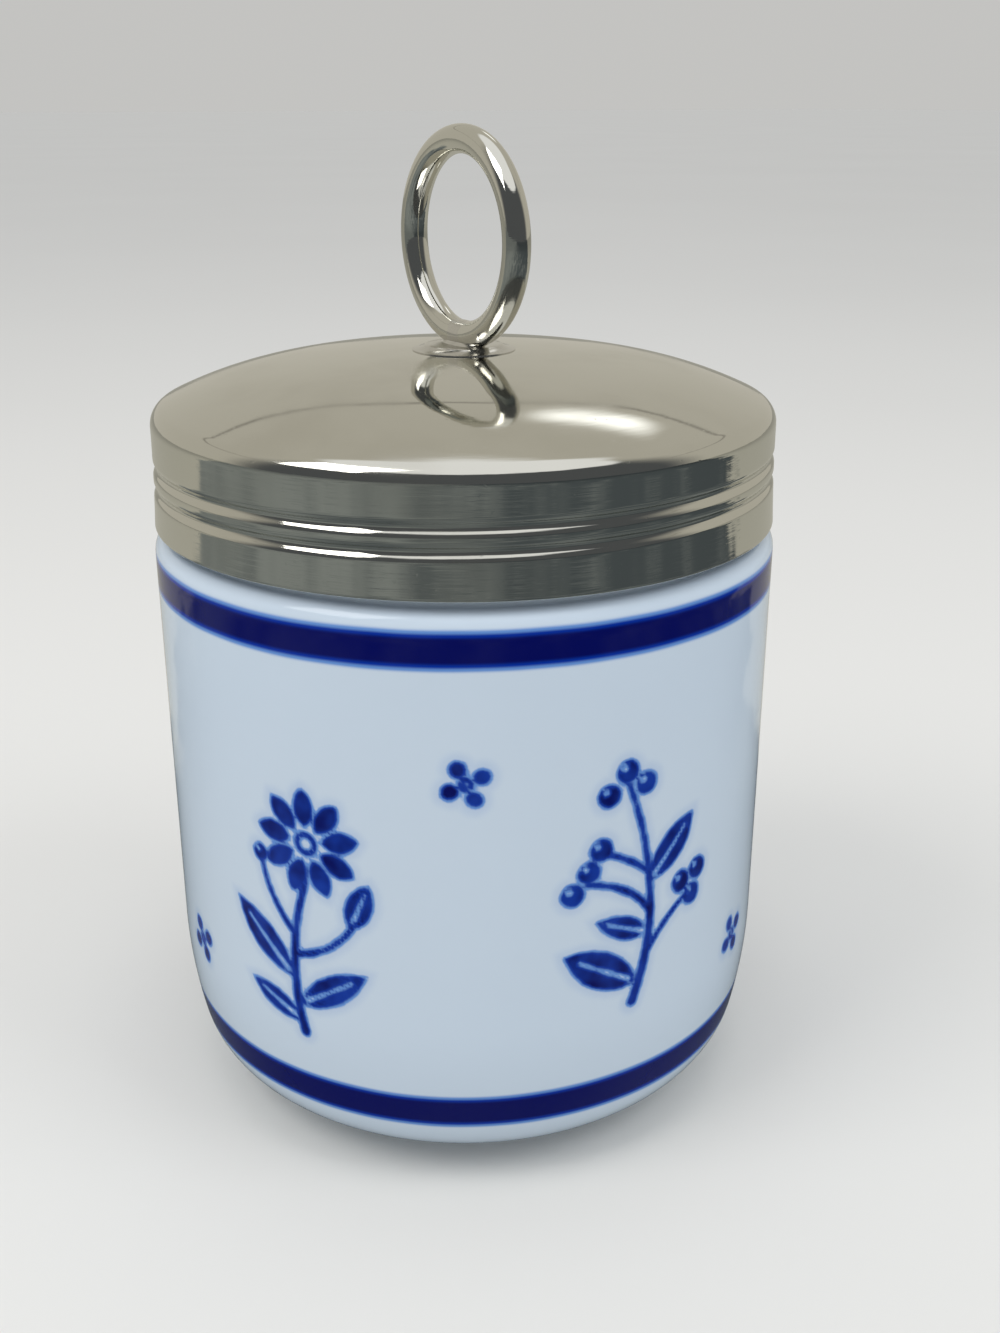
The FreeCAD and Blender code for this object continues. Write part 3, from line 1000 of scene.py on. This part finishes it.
def along(tree, where, direction):
    """How far a place or a direction lies along another direction."""
    settings = {"operation": "DOT_PRODUCT"}
    return put(tree, "ShaderNodeVectorMath", settings, in0=where, in1=direction).outputs["Value"]


def matt_material(name):
    material, tree, surface = new_material(name)
    surface.inputs["Roughness"].default_value = MATT_ROUGHNESS
    surface.inputs["Specular IOR Level"].default_value = 0.0
    return material, tree, surface


bpy.ops.mesh.primitive_plane_add(size=FLOOR_SIZE)
floor = bpy.context.object
floor.name = "floor"
pale_floor, tree, surface = matt_material("pale_floor")
cloud = noise(tree, object_place(tree), scale=3.0)
tree.links.new(blend_colours(tree, cloud, FLOOR_PALE, FLOOR_SHADE), surface.inputs["Base Color"])
floor.data.materials.append(pale_floor)

CARD_LIFT = 0.3
CARD_PALE_BELOW = 10.0
CARD_DARK_ABOVE = 40.0
CARD_WANDER = 220
PALER_LEFT_SLOPE = -0.55
STREAK_FADE = (0.30, 0.78)
CARD_DARK = (0.066, 0.077, 0.082, 1)
CARD_STREAK = (0.215, 0.23, 0.22, 1)
CARD_PALE = (0.43, 0.415, 0.355, 1)

bpy.ops.mesh.primitive_plane_add(size=FLOOR_SIZE, location=(0, 0, CARD_LIFT * MM))
card = bpy.context.object
card.name = "reflected_card"
two_tone, tree, surface = matt_material("two_tone_card")
where = object_place(tree)
wander = noise(tree, where, scale=16.0, detail=4.0)
wander = reckon(tree, "MULTIPLY_ADD", wander, CARD_WANDER * MM, along(tree, where, to_camera))
dark = rise_between(tree, wander, CARD_PALE_BELOW * MM, CARD_DARK_ABOVE * MM)
# The card's dark part is made paler in streaks and more so towards the left; this only changes how it shows
# in the metal's reflections.
streak_field = along(tree, where, to_right)
streak_field = reckon(tree, "MULTIPLY_ADD", streak_field, PALER_LEFT_SLOPE, noise(tree, where, scale=13.0, detail=3.0))
streaked_dark = blend_colours(tree, rise_between(tree, streak_field, *STREAK_FADE), CARD_DARK, CARD_STREAK)
tree.links.new(blend_colours(tree, dark, CARD_PALE, streaked_dark), surface.inputs["Base Color"])
card.data.materials.append(two_tone)
card.visible_camera = False
card.visible_diffuse = False
card.visible_shadow = False
card.visible_transmission = False

# %% [markdown]
# The sky is one colour for the camera, so that floor and sky run into each other. Soft light comes from all
# of it alike. What the metal mirrors is a pale wall behind the pot with a window in it, a dim room before it
# and a white ceiling. The wall's top edge draws a fine line across the lid, which shows how the lid is
# domed.

# %% Sky
SKY_WALL = (0.54, 0.515, 0.445, 1)
SKY_EDGE = (0.24, 0.225, 0.195, 1)
SKY_ROOM = (0.09, 0.095, 0.10, 1)
SKY_WINDOW = (2.0, 2.0, 1.96, 1)
SKY_CEILING = (1.0, 1.0, 1.0, 1)
SKY_SOFT = (0.98, 0.99, 1.0, 1)
SKY_SEEN = (0.55, 0.547, 0.533, 1)
FRONT_FADE = (-0.1, 0.3)
WALL_EDGE_UP = (0.533, 0.543, 0.008)
WINDOW_UP = (0.60, 0.67, 0.035)
WINDOW_ACROSS = (0.12, 0.30, 0.05)
CEILING_START = 0.86
CEILING_LOWER = 0.16
CEILING_SOFT = 0.05
SOFT_STRENGTH = 0.78

world = bpy.data.worlds.new("pale_sky")
bpy.context.scene.world = world
world.use_nodes = True
sky = world.node_tree
way = put(sky, "ShaderNodeTexCoord").outputs["Generated"]
upward = put(sky, "ShaderNodeSeparateXYZ", Vector=way).outputs[2]
front = rise_between(sky, along(sky, way, to_camera), *FRONT_FADE)
behind = reckon(sky, "SUBTRACT", 1.0, front)

mirrored = blend_colours(sky, front, SKY_WALL, SKY_ROOM)
edge = reckon(sky, "MULTIPLY", strip_between(sky, upward, *WALL_EDGE_UP), behind)
mirrored = blend_colours(sky, edge, mirrored, SKY_EDGE)
window = reckon(sky, "MULTIPLY", strip_between(sky, upward, *WINDOW_UP), behind)
window_sides = strip_between(sky, along(sky, way, to_right), *WINDOW_ACROSS)
window = reckon(sky, "MULTIPLY", window, window_sides)
mirrored = blend_colours(sky, window, mirrored, SKY_WINDOW)
ceiling = reckon(sky, "MULTIPLY_ADD", front, -CEILING_LOWER, CEILING_START)
ceiling = reckon(sky, "SUBTRACT", upward, ceiling)
mirrored = blend_colours(sky, rise_between(sky, ceiling, 0.0, CEILING_SOFT), mirrored, SKY_CEILING)

ray = put(sky, "ShaderNodeLightPath").outputs
colour = blend_colours(sky, ray["Is Glossy Ray"], SKY_SOFT, mirrored)
colour = blend_colours(sky, ray["Is Camera Ray"], colour, SKY_SEEN)
sky.links.new(colour, sky.nodes["Background"].inputs["Color"])
strength = reckon(sky, "MAXIMUM", ray["Is Glossy Ray"], ray["Is Camera Ray"])
strength = reckon(sky, "MAXIMUM", strength, SOFT_STRENGTH)
sky.links.new(strength, sky.nodes["Background"].inputs["Strength"])

# %% [markdown]
# Three square lamps give the soft shadow. Only the first is mirrored, so that the metal and the glaze keep
# one clear highlight each.

# %% Lamps
POT_MIDDLE = Vector((0, 0, 0.05))


def soft_lamp(name, bearing, elevation, distance, size, power, colour=(1, 1, 1), mirrored=False):
    """A square lamp that looks at the middle of the pot from a bearing off the camera's."""
    lamp = bpy.data.objects.new(name, bpy.data.lights.new(name, "AREA"))
    bpy.context.scene.collection.objects.link(lamp)
    turn, climb = CAMERA_BEARING + math.radians(bearing), math.radians(elevation)
    way = Vector((math.sin(turn) * math.cos(climb), -math.cos(turn) * math.cos(climb), math.sin(climb)))
    lamp.location = way * distance + POT_MIDDLE
    lamp.rotation_euler = way.to_track_quat("Z", "Y").to_euler()
    lamp.data.size = size
    lamp.data.energy = power
    lamp.data.color = colour
    lamp.visible_camera = False
    lamp.visible_glossy = mirrored


soft_lamp(
    "key_lamp", bearing=-58, elevation=50, distance=0.75, size=0.36, power=1.7,
    colour=(1.0, 0.98, 0.95), mirrored=True,
)
soft_lamp(
    "fill_lamp", bearing=64, elevation=46, distance=0.80, size=0.36, power=1.2,
    colour=(0.95, 0.98, 1.0),
)
soft_lamp("top_lamp", bearing=10, elevation=78, distance=0.70, size=0.22, power=0.5)
bpy.context.scene.view_settings.view_transform = "Standard"
